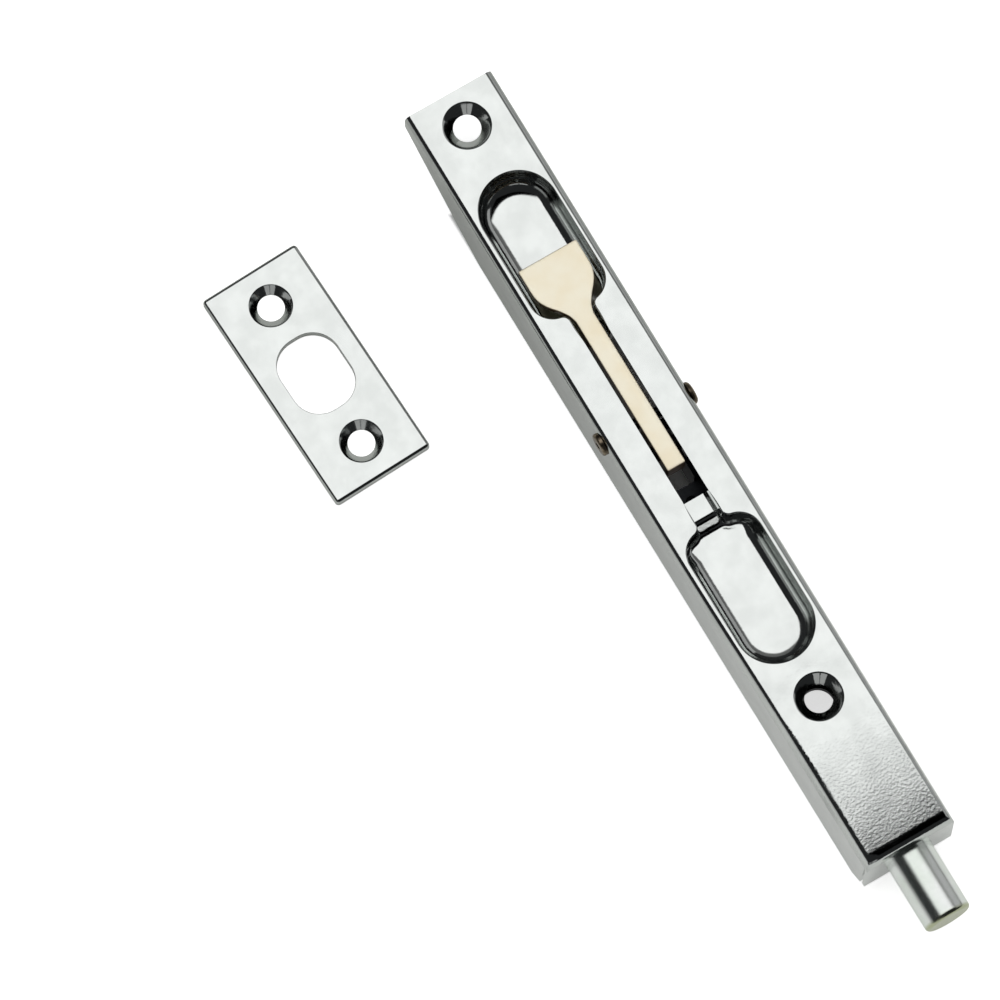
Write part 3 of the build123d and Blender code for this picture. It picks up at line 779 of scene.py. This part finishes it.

# %% [markdown]
# ## The studio
# Bright chrome has hardly any colour of its own: it shows what stands round it. A studio
# hangs a large white panel over such a part and leaves the sides of the room dark, so the
# flat face goes pale and each bend draws a thin black line. The floor is a plain pale table
# with a painted glow and a painted greyer look in mirrors.

# %% Table
def make_table():
    """A white table top, a hair below the object's lowest point. Its glow is a studio trick,
    painted light that lights nothing: only the camera and mirrors see it. The camera sees none
    of it under the mechanism, a painted shade that keeps the gaps black. In mirrors the table
    is painted greyer, and its painted glow grows towards the bolt as a painted reflection."""
    # Strengths of the painted glow, as the camera sees it and as mirrors see it.
    painted_glow_for_camera, painted_glow_in_mirrors = 0.66, 0.27
    half = 3.0
    level = cad_bounds[0][2] - 0.02 * MM
    corners = [(-half, -half, level), (half, -half, level), (half, half, level), (-half, half, level)]
    mesh = bpy.data.meshes.new("table")
    mesh.from_pydata(corners, [], [(0, 1, 2, 3)])
    table = bpy.data.objects.new("table", mesh)
    bpy.context.collection.objects.link(table)
    material, tree, shader = new_material("white_table_with_painted_glow", {
        "Base Color": linear("#FBFBFA"), "Roughness": 0.9, "Specular IOR Level": 0.0})
    path = add(tree, "ShaderNodeLightPath")
    # Mirrors see the table painted a greyer #CDCFCB: painted reflection.
    shade = add(tree, "ShaderNodeMix", {6: linear("#FBFBFA"), 7: linear("#CDCFCB")},
                {0: path.outputs["Is Glossy Ray"]}, data_type="RGBA")
    tree.links.new(shade.outputs[2], shader.inputs["Base Color"])
    shader.inputs["Emission Color"].default_value = linear("#FFFFFF")
    place, scaled, (x, y, z) = separate_place(tree)
    # The glow is kept only beside the case and beyond its ends: painted shade under the mechanism.
    beside = ease(tree, math_node(tree, "ABSOLUTE", y), half_width - 0.5, half_width + 0.3)
    above = ease(tree, x, -screw_at + 9, -screw_at + 8)
    below = ease(tree, x, screw_at - 7, screw_at - 6)
    outside_painted_shade = math_node(tree, "MAXIMUM", beside, math_node(tree, "MAXIMUM", above, below))
    seen = math_node(tree, "MULTIPLY", path.outputs["Is Camera Ray"], painted_glow_for_camera)
    glow = math_node(tree, "MULTIPLY", seen, outside_painted_shade)
    # Mirrors see a painted glow that grows towards the bolt: painted reflection.
    in_mirrors = math_node(tree, "MULTIPLY", path.outputs["Is Glossy Ray"],
                           ease(tree, x, -70.0, 100.0, 0.0, painted_glow_in_mirrors))
    glow = math_node(tree, "ADD", glow, in_mirrors)
    tree.links.new(glow, shader.inputs["Emission Strength"])
    mesh.materials.append(material)
    return table


table = make_table()
print("table at", table.data.vertices[0].co.z)

# %% Camera
view_azimuth = math.radians(59.39)
view_elevation = math.radians(75.68)
view_distance = 1.595
view_focal = 9.0           # focal length in sensor widths
view_target = Vector((0.0016, -0.0302, 0.0))


def aim(thing, place, target):
    """Puts a camera or lamp at a place with its -Z axis towards the target and no roll."""
    thing.location = place
    thing.rotation_euler = (Vector(target) - Vector(place)).to_track_quat("-Z", "Y").to_euler()


back = Vector((math.sin(view_azimuth) * math.cos(view_elevation),
               -math.cos(view_azimuth) * math.cos(view_elevation),
               math.sin(view_elevation)))
camera_data = bpy.data.cameras.new("camera")
camera_data.sensor_width = 36.0
camera_data.lens = view_focal * camera_data.sensor_width
camera_data.clip_end = 20.0
camera = bpy.data.objects.new("camera", camera_data)
bpy.context.collection.objects.link(camera)
aim(camera, view_target + view_distance * back, view_target)
bpy.context.scene.camera = camera
print("camera at", tuple(round(c, 3) for c in camera.location))


# %% Lights
def area_light(name, place, target, size, radiance, colour="#FFFFFF", in_mirrors=True):
    """A soft rectangular lamp of a given brightness: power is pi x area x radiance."""
    data = bpy.data.lights.new(name, "AREA")
    data.shape = "RECTANGLE"
    data.size, data.size_y = size
    data.energy = math.pi * size[0] * size[1] * radiance
    data.color = linear(colour)[:3]
    lamp = bpy.data.objects.new(name, data)
    bpy.context.collection.objects.link(lamp)
    aim(lamp, place, target)
    lamp.visible_camera = False
    lamp.visible_glossy = in_mirrors
    return lamp


def softbox(name, height, across, along, radiance, full_to, dark_from):
    """A flat white panel that glows downwards, squared up with the camera: across and along are
    its limits to the camera's right and away from it. Its light is even up to one X and then
    fades out smoothly towards a second X, as the baffled end of a real softbox does. Its back
    half, from about 0.64 m away, is only an eighth as bright: a grey ceiling behind the box."""
    up = Vector((0, 0, height))
    corners = [across[i] * right + along[j] * away_up + up for i, j in ((0, 0), (0, 1), (1, 1), (1, 0))]
    mesh = bpy.data.meshes.new(name)
    mesh.from_pydata([tuple(corner) for corner in corners], [], [(0, 1, 2, 3)])
    panel = bpy.data.objects.new(name, mesh)
    bpy.context.collection.objects.link(panel)
    material = bpy.data.materials.new(name)
    material.use_nodes = True
    tree = material.node_tree
    tree.nodes.clear()
    place = add(tree, "ShaderNodeTexCoord").outputs["Object"]
    split = add(tree, "ShaderNodeSeparateXYZ", links={0: place})
    front = ease(tree, split.outputs["X"], full_to, dark_from, radiance, 0.0)
    behind = add(tree, "ShaderNodeVectorMath", {1: away_up}, {0: place}, operation="DOT_PRODUCT")
    power = math_node(tree, "MULTIPLY", front, ease(tree, behind.outputs["Value"], 0.58, 0.70, 1.0, 0.12))
    glow = add(tree, "ShaderNodeEmission", {"Color": linear("#FEFEFE")}, {"Strength": power})
    add(tree, "ShaderNodeOutputMaterial", links={"Surface": glow.outputs[0]})
    mesh.materials.append(material)
    panel.visible_camera = False
    return panel


right = Vector((math.cos(view_azimuth), math.sin(view_azimuth), 0))
away_up = Vector((-math.sin(view_azimuth), math.cos(view_azimuth), 0))
centre = Vector((0.0, -0.02, 0.0))
softbox("overhead_softbox", 1.26, (-0.75, 1.20), (-0.50, 1.60), 1.38, -0.10, 0.10)
area_light("table_fill", (0, 0, 1.2), (0, 0, 0), (2.4, 2.4), 0.95, "#FFFFFF", False)
for side in (-1, 1):
    area_light("front_card", -1.0 * away_up + side * 0.19 * right + Vector((0, 0, 0.27)), centre,
               (0.34, 0.22), 0.42)
area_light("left_card", (0.0, -1.2, 0.10), centre, (1.2, 0.20), 0.40)
area_light("right_card", (0.0, 1.2, 0.50), centre, (1.2, 0.80), 0.42)
world = bpy.data.worlds.new("dim_room")
world.use_nodes = True
world.node_tree.nodes["Background"].inputs["Color"].default_value = linear("#2A2B2C")
world.node_tree.nodes["Background"].inputs["Strength"].default_value = 1.0
bpy.context.scene.world = world
bpy.context.scene.view_settings.view_transform = "Standard"
print("studio ready")
